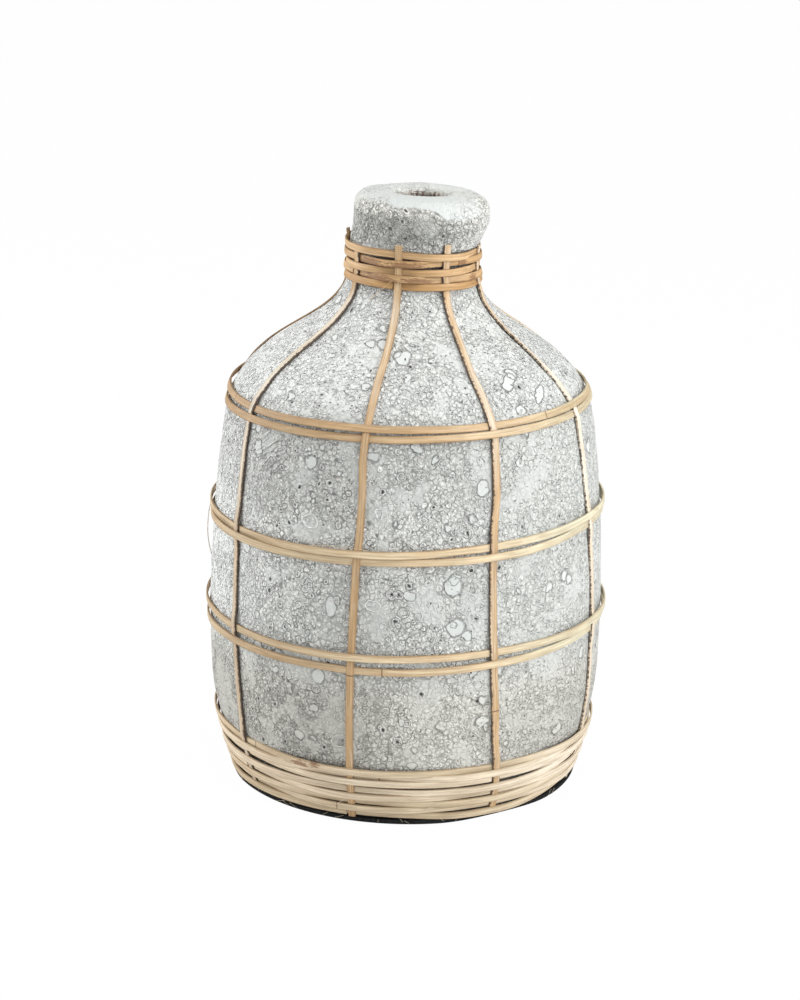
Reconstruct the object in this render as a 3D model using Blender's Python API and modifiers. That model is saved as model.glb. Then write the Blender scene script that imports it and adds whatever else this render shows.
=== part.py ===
"""A bottle-shaped terracotta vase in an open cage of woven flat cane.

Metres, +Z up. The origin is the centre of the underside, where the pad meets the table. The front
faces -Y, and azimuths are measured from there towards +X.

The body is one turned shell. The cage is 8 upright ribs and 19 weavers, each an open strip of split
cane. A weaver passes over one rib and under the next, so the cane lies in three layers on the
glaze: weavers that go under, ribs, and weavers that go over. A weaver's start is tucked behind a
rib, and its last stretch laps over that start as far as the next rib.
"""

import math

import bmesh
import bpy
import numpy as np
from mathutils import Vector, geometry

# What keeps touching surfaces apart.
CLEARANCE = 0.0003

# The pad under the foot, and how far it stands out past the foot.
PAD_LIP = 0.0008
PAD_THICKNESS = 0.0022
PAD_EDGE = 0.0005

# The outside of the body: foot, belly, shoulder, neck and lip. The foot and the shoulder are drawn
# in from the belly.
FOOT_INSET = 0.0130
FOOT_LEAN = 0.0112
FOOT_REACH = 0.0350
BELLY_RADIUS = 0.1042
BELLY_HEIGHT = 0.0820
BELLY_REACH = 0.0350
SHOULDER_INSET = 0.0082
SHOULDER_RISE = 0.1140
SHOULDER_LEAN = 0.174
SHOULDER_REACH = 0.0440
NECK_RADIUS = 0.0326
NECK_RISE = 0.0805
NECK_REACH = 0.0410
LIP_RADIUS = 0.0348
LIP_RISE = 0.0348
LIP_ROLL = 0.0090

# The inside of the body.
WALL = 0.0070
FLOOR = 0.0090
FLOOR_CORNER = 0.0080
BORE_RADIUS = 0.0200
MOUTH_RADIUS = 0.0155
MOUTH_ROLL = 0.0050
MOUTH_DEPTH = 0.0120

# The cane.
CANE = 0.0010
RIB_PAIRS = 4
RIB_WIDTH = 0.0040
RIB_TIP_WIDTH = 0.0035
RIB_TIP = 0.0036
FIRST_RIB = math.radians(-106.0)
HOOP_WIDTH = 0.0040
NECK_ROW_WIDTH = 0.0036
BASE_ROW_WIDTH = 0.0035
ROW_GAP = 0.00035
TUCK = 0.0012
END_GAP = 0.0008
# How long a weaver keeps to the layer of the rib that it crosses: 1 would be a plain wave.
CREST = 1.2

# The three pairs of hoops and the two bands of rows: how high each lies, and how far it tilts up
# towards +X. The shoulder hoops are placed from the shoulder, and the neck rows from the neck.
LOWER_HOOPS = 0.0906
LOWER_HOOPS_PITCH = 0.0064
LOWER_HOOPS_TILT = math.radians(1.3)
MIDDLE_HOOPS = 0.1464
MIDDLE_HOOPS_PITCH = 0.0045
MIDDLE_HOOPS_TILT = math.radians(2.2)
SHOULDER_HOOPS = 0.0110
SHOULDER_HOOPS_PITCH = 0.0054
SHOULDER_HOOPS_TILT = math.radians(1.2)
NECK_BAND = 0.0008
NECK_ROWS = 5
NECK_TILT = math.radians(-1.8)
BASE_ROWS = 8

# The rib, counted from the first as 0, that each weaver starts behind. All of them are at the back.
UPPER_HOOP_START = 6
LOWER_HOOP_START = 5
NECK_ROW_START = 5
BASE_ROW_START = 4
BASE_ROW_TURN = 3

# Hand work: how far each rib leans from its even place, in degrees, at the base, the middle hoops,
# the shoulder hoops and the neck. The ribs that these leave out are true.
RIB_LEANS = {
    1: (5.5, 4.6, 3.3, 5.4),
    2: (1.1, 2.7, 4.2, 4.2),
    3: (-1.0, -4.3, -3.9, 1.2),
    4: (-3.7, -8.6, -12.0, 2.0),
}
# The first rib bows out loosely between the lower and the middle hoops, and every rib stands off
# the hollow curve under the neck.
LOOSE_RIB = 0
LOOSE_BOW = 0.0030
HOLLOW_BOW = 0.0006

# How finely the round shapes are cut into flats. The inside of the shell takes every third flat.
# A weaver's flats dip inside the round by no more than the flatness, and the cane lies that much
# further out, so that no flat reaches the glaze.
TURN_STEPS = 44
FLATNESS = 0.00024
FEWEST_FLATS = 5
FOOT_STEPS = 6
BELLY_STEPS = 6
SHOULDER_STEPS = 14
LIP_STEPS = 4
CORNER_STEPS = 3
INSIDE_STRIDE = 3
MERGE = 0.00001

RIB_COUNT = 2 * RIB_PAIRS
BAY = 2 * math.pi / RIB_COUNT
LAYER = CANE + CLEARANCE
UNDER = CLEARANCE + FLATNESS + CANE / 2
MIDDLE = UNDER + LAYER

FOOT_RADIUS = BELLY_RADIUS - FOOT_INSET
SHOULDER_RADIUS = BELLY_RADIUS - SHOULDER_INSET
PAD_RADIUS = FOOT_RADIUS + PAD_LIP
BODY_BOTTOM = PAD_THICKNESS + CLEARANCE
SHOULDER_HEIGHT = BELLY_HEIGHT + SHOULDER_RISE
NECK_HEIGHT = SHOULDER_HEIGHT + NECK_RISE
RIM_HEIGHT = NECK_HEIGHT + LIP_RISE
NECK_ROW_PITCH = NECK_ROW_WIDTH + ROW_GAP
BASE_ROW_PITCH = BASE_ROW_WIDTH + ROW_GAP
NECK_BAND_TOP = NECK_HEIGHT - NECK_BAND + NECK_ROWS * NECK_ROW_PITCH / 2
SHOULDER_HOOPS_HEIGHT = SHOULDER_HEIGHT + SHOULDER_HOOPS
RIB_LEVELS = (BODY_BOTTOM, MIDDLE_HOOPS, SHOULDER_HOOPS_HEIGHT, NECK_BAND_TOP)

# Each pair of hoops by height, pitch and tilt.
HOOPS = {
    "lower_hoop": (LOWER_HOOPS, LOWER_HOOPS_PITCH, LOWER_HOOPS_TILT),
    "middle_hoop": (MIDDLE_HOOPS, MIDDLE_HOOPS_PITCH, MIDDLE_HOOPS_TILT),
    "shoulder_hoop": (SHOULDER_HOOPS_HEIGHT, SHOULDER_HOOPS_PITCH, SHOULDER_HOOPS_TILT),
}


def arc(centre_radius, centre_height, size, start, end, steps):
    """Points along a round corner of the profile, from one angle above the horizontal to another."""
    points = []
    for step in range(steps + 1):
        angle = math.radians(start + (end - start) * step / steps)
        across = centre_radius + size * math.cos(angle)
        points.append(Vector((across, centre_height + size * math.sin(angle))))
    return points


def outside_profile():
    """The body's outer side as (radius, height), from the foot up to where the lip begins to roll."""
    foot = Vector((FOOT_RADIUS, BODY_BOTTOM))
    belly = Vector((BELLY_RADIUS, BELLY_HEIGHT))
    shoulder = Vector((SHOULDER_RADIUS, SHOULDER_HEIGHT))
    neck = Vector((NECK_RADIUS, NECK_HEIGHT))
    upright = Vector((0, 1))
    flare = Vector((FOOT_LEAN, FOOT_REACH))
    inward = Vector((-SHOULDER_LEAN, 1))
    points = geometry.interpolate_bezier(
        foot, foot + flare, belly - upright * BELLY_REACH, belly, FOOT_STEPS + 1
    )
    points += geometry.interpolate_bezier(
        belly,
        belly + upright * BELLY_REACH,
        shoulder - inward * BELLY_REACH,
        shoulder,
        BELLY_STEPS + 1,
    )[1:]
    points += geometry.interpolate_bezier(
        shoulder,
        shoulder + inward * SHOULDER_REACH,
        neck - upright * NECK_REACH,
        neck,
        SHOULDER_STEPS + 1,
    )[1:]
    points.append(Vector((LIP_RADIUS, RIM_HEIGHT - LIP_ROLL)))
    return points


OUTSIDE = np.array(outside_profile())
STEPS_ALONG = np.diff(OUTSIDE, axis=0)
RUNS = np.concatenate([[0], np.cumsum(np.hypot(*STEPS_ALONG.T))])


def run_at(height):
    """How far up the body's outer side, measured along it, the given height lies."""
    return float(np.interp(height, OUTSIDE[:, 1], RUNS))


def normals():
    """The outward direction at each point of the outer side, shared by the flats that meet there."""
    along = STEPS_ALONG / np.hypot(*STEPS_ALONG.T)[:, None]
    shared = np.concatenate([along[:1], along[:-1] + along[1:], along[-1:]])
    outward = np.stack([shared[:, 1], -shared[:, 0]], axis=1)
    return outward / np.hypot(*outward.T)[:, None]


OUTWARD = normals()
# The cage starts as high up the foot's lean as its outermost cane needs to clear the pad.
CAGE_BOTTOM = BODY_BOTTOM - OUTWARD[0][1] * (MIDDLE + LAYER + CANE / 2)


def profile_at(run, offset):
    """Radius and height of the point that lies a given distance off the body's outer side."""
    radius, height = (np.interp(run, RUNS, OUTSIDE[:, axis]) for axis in (0, 1))
    out, up = (np.interp(run, RUNS, OUTWARD[:, axis]) for axis in (0, 1))
    scale = offset / math.hypot(out, up)
    return radius + out * scale, height + up * scale


def place(azimuth, run, offset, aside=0.0):
    """A point off the body's outer side, moved aside along the tangent if asked."""
    radius, height = profile_at(run, offset)
    outward = Vector((math.sin(azimuth), -math.cos(azimuth), 0))
    tangent = Vector((math.cos(azimuth), math.sin(azimuth), 0))
    return outward * radius + tangent * aside + Vector((0, 0, height))


def rib_azimuth(rib, height):
    """Where a rib stands. Ribs are counted on past the last one for a weaver's lap."""
    leans = RIB_LEANS.get(rib % RIB_COUNT, (0, 0, 0, 0))
    lean = math.radians(float(np.interp(height, RIB_LEVELS, leans)))
    return FIRST_RIB + rib * BAY + lean


def tilted(height, tilt, azimuth):
    """How high a tilted hoop passes at an azimuth."""
    radius = profile_at(run_at(height), MIDDLE)[0]
    return height + math.tan(tilt) * radius * math.sin(azimuth)


def band_runs(rib, name):
    """Where a pair of hoops starts and ends along a rib."""
    height, pitch, tilt = HOOPS[name]
    middle = run_at(tilted(height, tilt, rib_azimuth(rib, height)))
    half = (pitch + HOOP_WIDTH) / 2 + END_GAP
    return middle - half, middle + half


def strip(name, stations, edges, material):
    """A cane: a flat ribbon of quads, bent so that edges(i) are its two edge points at station i."""
    mesh = bpy.data.meshes.new(name)
    ribbon = bmesh.new()
    bmesh.ops.create_grid(ribbon, x_segments=stations - 1, y_segments=1, size=0.5)
    for vertex in ribbon.verts:
        station = round((vertex.co.x + 0.5) * (stations - 1))
        vertex.co = edges(station)[vertex.co.y > 0]
    ribbon.to_mesh(mesh)
    ribbon.free()
    mesh.shade_flat()
    cane = bpy.data.objects.new(name, mesh)
    thickness = cane.modifiers.new("thickness", "SOLIDIFY")
    thickness.thickness = CANE
    thickness.offset = 0
    mesh.materials.append(material)
    collection.objects.link(cane)


def bends(start_rib, height, radius):
    """Where a weaver bends on its way round, counted in bays from the rib that it starts behind."""
    flat = 2 * math.acos(1 - FLATNESS / radius)
    counts = [0.0]
    for bay in range(RIB_COUNT + 1):
        near = rib_azimuth(start_rib + bay, height)
        far = rib_azimuth(start_rib + bay + 1, height)
        flats = max(FEWEST_FLATS, math.ceil((far - near) / flat))
        counts += [bay + step / flats for step in range(1, flats + 1)]
    return counts


def weaver(name, height, width, start_rib, tilt, material):
    """A strip woven round the body. It goes over its start rib, and starts tucked behind it."""
    radius = profile_at(run_at(height), MIDDLE)[0]
    counts = bends(start_rib, height, radius)
    first = rib_azimuth(start_rib, height) - TUCK / radius
    stop = rib_azimuth(start_rib + RIB_COUNT + 1, height)
    last = stop - (RIB_WIDTH / 2 + END_GAP) / radius

    def layer(bays):
        wave = min(max(CREST * math.cos(math.pi * bays), -1), 1)
        if bays <= 1:
            return UNDER
        if bays <= RIB_COUNT:
            return MIDDLE + LAYER * wave
        return MIDDLE + LAYER * (1 + wave) / 2

    def azimuth_at(bays):
        whole = math.floor(bays)
        near = rib_azimuth(start_rib + whole, height)
        far = rib_azimuth(start_rib + whole + 1, height)
        return near + (far - near) * (bays - whole)

    def edges(station):
        bays = counts[station]
        azimuth = min(azimuth_at(bays), last) if station else first
        run = run_at(tilted(height, tilt, azimuth))
        return [place(azimuth, run + side * width / 2, layer(bays)) for side in (-1, 1)]

    strip(name, len(counts), edges, material)


def rib(number, material):
    """An upright strip, from the foot of the cage to its tip above the neck band."""
    index = number - 1
    bottom = run_at(CAGE_BOTTOM)
    tip = run_at(NECK_BAND_TOP + RIB_TIP)
    neck = NECK_BAND_TOP - NECK_ROWS * NECK_ROW_PITCH
    neck_run = run_at(tilted(neck, NECK_TILT, rib_azimuth(index, neck))) - END_GAP
    hollow = (band_runs(index, "shoulder_hoop")[1], neck_run)
    loose = (band_runs(index, "lower_hoop")[1], band_runs(index, "middle_hoop")[0])
    bands = [run for name in HOOPS for run in band_runs(index, name)] + [neck_run]
    free = [run for run in RUNS if min(abs(run - band) for band in bands) > CANE]
    runs = sorted([run for run in free if bottom < run < tip] + bands + [bottom, tip])

    def swell(run, ends):
        share = min(max((run - ends[0]) / (ends[1] - ends[0]), 0), 1)
        return math.sin(math.pi * share) ** 2

    def edges(station):
        run = runs[station]
        height = profile_at(run, 0)[1]
        offset = MIDDLE + HOLLOW_BOW * swell(run, hollow)
        if index == LOOSE_RIB:
            offset += LOOSE_BOW * swell(run, loose)
        width = RIB_WIDTH + (RIB_TIP_WIDTH - RIB_WIDTH) * run / tip
        azimuth = rib_azimuth(index, height)
        return [place(azimuth, run, offset, side * width / 2) for side in (1, -1)]

    strip(f"rib_{number}", len(runs), edges, material)


def body(material):
    """The turned shell: up the inside from the centre of the floor, over the lip, down the outside."""
    floor_height = BODY_BOTTOM + FLOOR
    inside = [Vector(point - WALL * out) for point, out in zip(OUTSIDE, OUTWARD)]
    cavity = [
        point
        for point in inside
        if floor_height + FLOOR_CORNER < point.y < NECK_HEIGHT and point.x > BORE_RADIUS
    ]
    corner_radius = cavity[0].x - FLOOR_CORNER
    profile = [Vector((0, floor_height))]
    profile += arc(
        corner_radius, floor_height + FLOOR_CORNER, FLOOR_CORNER, -90, 0, CORNER_STEPS
    )
    profile += cavity[::INSIDE_STRIDE]
    profile.append(Vector((BORE_RADIUS, NECK_HEIGHT)))
    profile.append(Vector((BORE_RADIUS, RIM_HEIGHT - MOUTH_DEPTH)))
    profile += arc(
        MOUTH_RADIUS + MOUTH_ROLL, RIM_HEIGHT - MOUTH_ROLL, MOUTH_ROLL, 180, 90, CORNER_STEPS
    )
    profile += arc(LIP_RADIUS - LIP_ROLL, RIM_HEIGHT - LIP_ROLL, LIP_ROLL, 90, 0, LIP_STEPS)
    profile += [Vector(point) for point in OUTSIDE[-2::-1]]
    profile.append(Vector((0, BODY_BOTTOM)))

    mesh = bpy.data.meshes.new("vase_body")
    edges = [(index, index + 1) for index in range(len(profile) - 1)]
    mesh.from_pydata([(point.x, 0, point.y) for point in profile], edges, [])
    mesh.materials.append(material)
    vase = bpy.data.objects.new("vase_body", mesh)
    turn = vase.modifiers.new("turn", "SCREW")
    turn.steps = TURN_STEPS
    turn.render_steps = TURN_STEPS
    turn.use_merge_vertices = True
    turn.merge_threshold = MERGE
    turn.use_smooth_shade = True
    collection.objects.link(vase)


def pad(material):
    """A thin disc glued under the foot."""
    mesh = bpy.data.meshes.new("base_pad")
    disc = bmesh.new()
    bmesh.ops.create_cone(
        disc,
        cap_ends=True,
        segments=TURN_STEPS,
        radius1=PAD_RADIUS,
        radius2=PAD_RADIUS,
        depth=PAD_THICKNESS,
    )
    disc.to_mesh(mesh)
    disc.free()
    mesh.materials.append(material)
    base = bpy.data.objects.new("base_pad", mesh)
    base.location.z = PAD_THICKNESS / 2
    edge = base.modifiers.new("edge", "BEVEL")
    edge.width = PAD_EDGE
    edge.segments = 1
    collection.objects.link(base)


def principled(name, color, roughness):
    material = bpy.data.materials.new(name)
    material.use_nodes = True
    shader = material.node_tree.nodes["Principled BSDF"]
    shader.inputs["Base Color"].default_value = (*color, 1)
    shader.inputs["Roughness"].default_value = roughness
    shader.inputs["Metallic"].default_value = 0
    material.diffuse_color = (*color, 1)
    return material


def hoops(name, height, pitch, tilt, material):
    """A pair of hoops. The upper goes over the ribs that the lower goes under."""
    above = height + pitch / 2
    below = height - pitch / 2
    weaver(f"{name}_upper", above, HOOP_WIDTH, UPPER_HOOP_START, tilt, material)
    weaver(f"{name}_lower", below, HOOP_WIDTH, LOWER_HOOP_START, tilt, material)


for leftover in list(bpy.data.objects):
    bpy.data.objects.remove(leftover)

collection = bpy.data.collections.new("cane_wrapped_vase")
bpy.context.scene.collection.children.link(collection)

glaze = principled("volcanic_glaze", (0.58, 0.60, 0.57), 0.75)
felt = principled("pad_felt", (0.035, 0.038, 0.040), 0.95)
rib_cane = principled("rib_cane", (0.76, 0.55, 0.33), 0.55)
neck_cane = principled("neck_cane", (0.78, 0.51, 0.28), 0.55)
hoop_cane = principled("hoop_cane", (0.80, 0.61, 0.39), 0.55)
base_cane = principled("base_cane", (0.80, 0.66, 0.45), 0.60)

body(glaze)
pad(felt)
for number in range(1, RIB_COUNT + 1):
    rib(number, rib_cane)
for row in range(NECK_ROWS):
    row_height = NECK_BAND_TOP - (row + 0.5) * NECK_ROW_PITCH
    start = NECK_ROW_START + row
    weaver(f"neck_row_{row + 1}", row_height, NECK_ROW_WIDTH, start, NECK_TILT, neck_cane)
for name, (height, pitch, tilt) in HOOPS.items():
    hoops(name, height, pitch, tilt, hoop_cane)
for row in range(BASE_ROWS):
    row_height = CAGE_BOTTOM + (BASE_ROWS - row - 0.5) * BASE_ROW_PITCH
    start = BASE_ROW_START + BASE_ROW_TURN * row
    weaver(f"base_row_{row + 1}", row_height, BASE_ROW_WIDTH, start, 0, base_cane)
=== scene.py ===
"""A bottle-shaped vase in rough crater glaze, in a woven cage of split cane, on a thin felt pad.

Metres, +Z up. The front faces -Y, and azimuths are measured from there towards +X. Every path is
read from the CAD nodes: how far up the glaze a cane runs, and where each rib stands.
"""

import math
import random

import bmesh
import bpy
import numpy as np
from mathutils import Matrix, Vector, geometry, noise


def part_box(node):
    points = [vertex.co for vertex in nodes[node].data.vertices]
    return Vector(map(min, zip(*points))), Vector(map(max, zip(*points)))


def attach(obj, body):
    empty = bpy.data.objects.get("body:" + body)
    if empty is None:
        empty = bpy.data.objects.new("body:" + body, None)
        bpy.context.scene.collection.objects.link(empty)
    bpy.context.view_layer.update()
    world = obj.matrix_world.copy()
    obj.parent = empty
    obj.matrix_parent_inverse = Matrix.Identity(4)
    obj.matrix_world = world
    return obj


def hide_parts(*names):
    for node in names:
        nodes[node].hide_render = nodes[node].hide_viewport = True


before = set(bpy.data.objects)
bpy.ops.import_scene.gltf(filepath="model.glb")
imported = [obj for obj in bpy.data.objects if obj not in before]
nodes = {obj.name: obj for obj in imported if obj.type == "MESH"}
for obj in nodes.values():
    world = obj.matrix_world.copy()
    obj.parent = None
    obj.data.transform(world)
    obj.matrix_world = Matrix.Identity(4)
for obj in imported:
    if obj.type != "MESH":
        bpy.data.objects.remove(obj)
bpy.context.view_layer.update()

MM = 0.001
MERGE = 0.01 * MM

# The glazed body: how fine its mesh is, and from what heights up its outside and its bore are as
# fine as its neck.
COLUMNS = 200
BODY_ROW = 3.0 * MM
NECK_ROW = 1.2 * MM
INSIDE_ROW = 8.0 * MM
SHOULDER_TOP = 0.236
FINE_BORE = 0.285
# How far the lip leans towards +X, from what height up, and how far below that the lean fades.
LIP_LEAN = 4.0 * MM
LIP_START = 0.299
LEAN_REACH = 0.019
# The mouth's width and its depth from front to back, as shares of the CAD's, and its shift to the back.
MOUTH_WIDTH = 0.86
MOUTH_DEPTH = 0.74
MOUTH_BACK = 0.0035

# Split cane: its thickness, the crown of its outer face, and how far its middle lies off the glaze:
# a weaver under a rib, a rib over a weaver, a weaver over a rib, and a rib at rest on the glaze.
CANE = 0.85 * MM
CROWN = 0.13 * MM
UNDER, MIDDLE, OVER = 0.70 * MM, 1.64 * MM, 2.58 * MM
RESTING = 0.80 * MM
# How far apart the points of its path are.
STATION = 2.5 * MM
# How far its outer edges are eased, and where its crown breaks, as a share of its width.
EASE = 0.24 * MM
FLUTE = 0.27
# A wave over and under the ribs is cut off flat at 1, so a crest above 1 gives it level tops.
CREST = 1.2

# Ribs: their number, the first one's azimuth and their spacing in degrees, how far they wander
# sideways, and how far on each side of a weaver they stay high and then fall to the glaze.
RIB_COUNT = 8
FIRST_RIB = -106.0
RIB_SPACING = 45.0
RIB_WANDER = 0.25 * MM
HIGH_REACH = 3 * MM
FALL_REACH = 9 * MM
RIB_WIDTH = 3.8 * MM
# A rib with a painted shadow along one edge is cut wider.
SHADOWED_RIB_WIDTH = 4.1 * MM

# How far from a joint its distance is counted, and how long the knuckle at it is.
JOINT_REACH = 0.02
KNUCKLE = 0.0022

# How far before a rib's middle a weaver starts behind it, and ends over its own start.
TUCK_START = 1.2 * MM
TUCK_END = 2.8 * MM

# The loose hairs' thickness: those off the ribs, off the weavers, and along the lowest edge.
RIB_HAIR = 0.5 * MM
WEAVER_HAIR = 0.22 * MM
FRAY_HAIR = 0.12 * MM

# How far the felt pad's soft edge stands out past the pad that was cut.
PAD_SPREAD = 1.8 * MM


# Modelling


def start_cube(name):
    """A unit cube at the origin, in edit mode and selected all over."""
    bpy.ops.object.select_all(action="DESELECT")
    bpy.ops.mesh.primitive_cube_add(size=1, enter_editmode=True)
    piece = bpy.context.object
    piece.name = piece.data.name = name
    return piece


def select(piece, kind, test):
    """Selects the vertices, edges or faces that pass the test, and nothing else, in edit mode."""
    bpy.ops.mesh.select_mode(type={"verts": "VERT", "edges": "EDGE", "faces": "FACE"}[kind])
    bpy.ops.mesh.select_all(action="DESELECT")
    shape = bmesh.from_edit_mesh(piece.data)
    for item in getattr(shape, kind):
        if test(item):
            item.select_set(True)
    shape.select_flush_mode()
    bmesh.update_edit_mesh(piece.data)


def add_object(name, data):
    thing = bpy.data.objects.new(name, data)
    bpy.context.scene.collection.objects.link(thing)
    return thing


def select_alone(piece):
    bpy.ops.object.select_all(action="DESELECT")
    bpy.context.view_layer.objects.active = piece
    piece.select_set(True)


def pull(way, reach):
    """Moves what is selected, and what lies within reach of it less and less."""
    bpy.ops.transform.translate(
        value=way,
        use_proportional_edit=True,
        proportional_edit_falloff="SMOOTH",
        proportional_size=reach,
    )


def along_x(edge):
    near, far = (vertex.co for vertex in edge.verts)
    return abs(near.x - far.x) > 0.9 * (near - far).length


def finish_mesh(angle=40):
    bpy.ops.object.mode_set(mode="OBJECT")
    bpy.ops.object.shade_smooth_by_angle(angle=math.radians(angle))


def apply(piece, modifier):
    bpy.context.view_layer.objects.active = piece
    bpy.ops.object.modifier_apply(modifier=modifier.name)


def coordinates(piece):
    flat = np.empty(len(piece.data.vertices) * 3)
    piece.data.vertices.foreach_get("co", flat)
    return flat.reshape(-1, 3)


def point_values(piece, name, values, kind="FLOAT"):
    field = "vector" if kind == "FLOAT_VECTOR" else "value"
    attribute = piece.data.attributes.new(name, kind, "POINT")
    attribute.data.foreach_set(field, np.ascontiguousarray(values, np.float32).ravel())


# The body's outline, read from its CAD node


def turned_outline(node):
    """(radius, height) of a turned node, from the edge of its floor, over the lip, to its foot."""
    shell = bmesh.new()
    shell.from_mesh(node.data)
    bmesh.ops.remove_doubles(shell, verts=shell.verts, dist=MERGE)
    joined = {}
    for edge in shell.edges:
        near, far = (vertex.co for vertex in edge.verts)
        if all(abs(point.y) < MERGE and point.x > MERGE for point in (near, far)):
            near, far = ((round(point.x, 6), round(point.z, 6)) for point in (near, far))
            joined.setdefault(near, []).append(far)
            joined.setdefault(far, []).append(near)
    shell.free()
    chain = [max((point for point in joined if len(joined[point]) == 1), key=lambda p: p[1])]
    while True:
        onward = [point for point in joined[chain[-1]] if point not in chain]
        if not onward:
            return chain
        chain.append(onward[0])


def smooth_line(points, steps=16):
    """A smooth line through the points, which leaves each one along its neighbours' mean direction."""
    points = [Vector(point) for point in points]
    legs = [far - near for near, far in zip(points, points[1:])]
    ways = [leg.normalized() for leg in legs]
    turns = [ways[0]] + [(a + b).normalized() for a, b in zip(ways, ways[1:])] + [ways[-1]]
    line = [points[0]]
    for near, far, leg, leave, arrive in zip(points, points[1:], legs, turns, turns[1:]):
        reach = leg.length / 3
        line += geometry.interpolate_bezier(
            near, near + leave * reach, far - arrive * reach, far, steps + 1
        )[1:]
    return np.array(line)


def run_along(line):
    return np.concatenate([[0], np.cumsum(np.hypot(*np.diff(line, axis=0).T))])


OUTLINE = turned_outline(nodes["vase_body"])
RIM = max(range(len(OUTLINE)), key=lambda index: OUTLINE[index][1])
OUTSIDE = smooth_line(OUTLINE[:RIM:-1])
RUNS = run_along(OUTSIDE)
ALONG = np.gradient(OUTSIDE, axis=0)
ALONG /= np.hypot(*ALONG.T)[:, None]


def on_glaze(run, offset):
    """Radius and height of a point off the glaze, and the elevation of the glaze's normal there."""
    radius, height = (np.interp(run, RUNS, OUTSIDE[:, axis]) for axis in (0, 1))
    out, up = (np.interp(run, RUNS, ALONG[:, axis]) for axis in (1, 0))
    return radius + out * offset, height - up * offset, math.atan2(-up, out)


def run_at(height):
    return float(np.interp(height, OUTSIDE[:, 1], RUNS))


def azimuths(points):
    return np.arctan2(points[:, 0], -points[:, 1])


def runs_of(points):
    """How far up the glaze each of a node's points lies."""
    radii = np.hypot(points[:, 0], points[:, 1])
    gaps = (radii[:, None] - OUTSIDE[None, ::4, 0]) ** 2 + (points[:, 2:3] - OUTSIDE[None, ::4, 1]) ** 2
    return RUNS[::4][gaps.argmin(axis=1)]


# Where the canes run, read from their CAD nodes


def rib_line(name):
    """A rib's azimuth as a smooth function of its run, and the runs of its two ends."""
    points = coordinates(nodes[name])
    runs = runs_of(points)
    around = azimuths(points)
    middle = np.angle(np.exp(1j * around).mean())
    around = middle + np.angle(np.exp(1j * (around - middle)))
    fit = np.polynomial.Polynomial.fit(runs, around, 5)
    return fit, runs.min(), runs.max()


def weaver_line(name):
    """A weaver's run as a function of azimuth: level, with the tilt that its node has."""
    points = coordinates(nodes[name])
    around = azimuths(points)
    terms = np.stack([np.ones_like(around), np.sin(around), np.cos(around)], axis=1)
    level, sine, cosine = np.linalg.lstsq(terms, runs_of(points), rcond=None)[0]
    drifts = np.array(WEAVER_DRIFT.get(name, ((0, 0),)))
    if name.startswith("base_row"):
        level += (run_at(BASE_MIDDLE) - level) * (1 - BASE_SQUEEZE)

    def laid(azimuth):
        turned = math.degrees(math.remainder(azimuth, math.tau))
        drift = np.interp(turned, drifts[:, 0], drifts[:, 1]) * MM
        return level + sine * math.sin(azimuth) + cosine * math.cos(azimuth) + drift

    return laid


# How far each rib is laid aside of its even line, towards +X at the front: height and shift in mm.
RIB_DRIFT = {
    1: ((200, 0), (222, -2.5), (262, -2.5), (285, 0)),
    2: ((6, 1.2), (36, 1.8), (56, 2.4), (80, 0), (96, -1.3), (123, -1.2), (200, -0.5), (260, 0)),
    3: (
        (6, -1.2), (40, -1.2), (68, -1.6), (100, -1.2), (135, -1.3),
        (158, -0.5), (177, -0.8), (194, -1.9), (240, 0),
    ),
    4: (
        (6, 3.4), (20, 3.0), (36, 1.4), (48, 0), (98, -1.3), (155, 0),
        (176, 2.3), (204, 2.0), (219, 0), (232, -2.1), (250, 0),
    ),
    5: ((6, 0), (84, 0), (100, 1.3), (116, 2.3), (162, 2.2), (185, 1.6), (212, -0.4), (230, -2.4), (255, 0)),
}

# How far each weaver is laid above its even line: azimuth in degrees and shift in mm.
WEAVER_DRIFT = {
    "shoulder_hoop_upper": ((-120, 0), (-70, -1.3), (-30, -1.0), (0, -1.5), (50, -1.6), (80, -1.2), (120, 0)),
    "middle_hoop_upper": (
        (-110, 0), (-60, -0.8), (-31, -1.0), (4, -0.9), (15, -0.4), (35, 0), (58, 1.1), (110, 0),
    ),
    "middle_hoop_lower": ((-110, 0), (-70, 1.2), (-45, 0.5), (-30, 0), (35, 0), (58, 1.3), (110, 0)),
    "base_row_3": (
        (-100, 0), (-72, -0.6), (-40, -0.5), (-24, 0), (4, -0.3), (16, -0.6), (50, -0.6), (100, 0),
    ),
    "base_row_4": ((-100, 0), (-72, 0.6), (-40, 0.5), (-24, 0), (4, 0), (16, 0.6), (50, 0.6), (100, 0)),
    "base_row_8": (
        (-110, 0), (-82, -0.8), (-62, -0.5), (-48, 0.2), (4, 0.1),
        (16, -0.6), (36, -0.6), (52, 0.3), (90, 0),
    ),
    "lower_hoop_lower": ((-120, 0), (-60, 2.3), (-32, 0.9), (-10, 0), (2, 0), (20, 1.1), (48, 1.9), (120, 0)),
}
# The rows round the foot are packed a little tighter towards their middle.
BASE_SQUEEZE = 0.92
BASE_MIDDLE = 17.5 * MM


RIBS = [rib_line(f"rib_{number}") for number in range(1, RIB_COUNT + 1)]

# The rib, counted from the first as 0, that each weaver starts behind and passes over.
WEAVERS = {f"neck_row_{row}": 4 + row for row in range(1, 6)}
for level in ("shoulder", "middle", "lower"):
    WEAVERS |= {f"{level}_hoop_upper": 6, f"{level}_hoop_lower": 5}
WEAVERS |= {f"base_row_{row}": 1 + 3 * row for row in range(1, 9)}


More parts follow.
